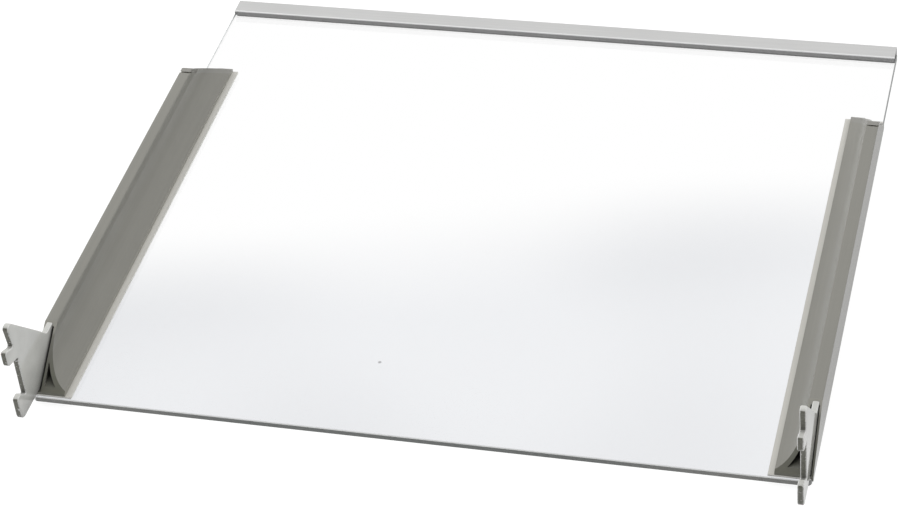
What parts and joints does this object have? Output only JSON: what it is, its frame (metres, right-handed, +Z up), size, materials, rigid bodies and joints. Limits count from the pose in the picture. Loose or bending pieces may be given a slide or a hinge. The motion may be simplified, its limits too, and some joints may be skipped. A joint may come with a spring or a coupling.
{
  "type": "refrigerator glass shelf",
  "caption": "Clear glass refrigerator shelf with a satin front trim, hollow grey side profiles and hook brackets at the rear that hang it on slotted wall rails.",
  "frame": {"origin": "middle of the shelf's footprint, at the level of the lowest face, which is the underside of the front trim", "axes": "+X across the shelf, +Y from the rear hooks towards the front trim, +Z up"},
  "size_m": [0.4678, 0.4422, 0.0737],
  "materials": {
    "glass": "clear polished",
    "front_trim": "satin",
    "base_strip": "fine satin",
    "side_profile": "fine satin",
    "bracket": "semi-gloss powder coat",
    "end_cap": "fine satin"
  },
  "bodies": {
    "root": {"glass_panel": "glass", "front_trim": "front_trim", "left_base_strip": "base_strip", "right_base_strip": "base_strip", "left_side_profile": "side_profile", "right_side_profile": "side_profile", "left_bracket": "bracket", "right_bracket": "bracket", "left_end_cap": "end_cap", "right_end_cap": "end_cap"}
  },
  "joints": []
}
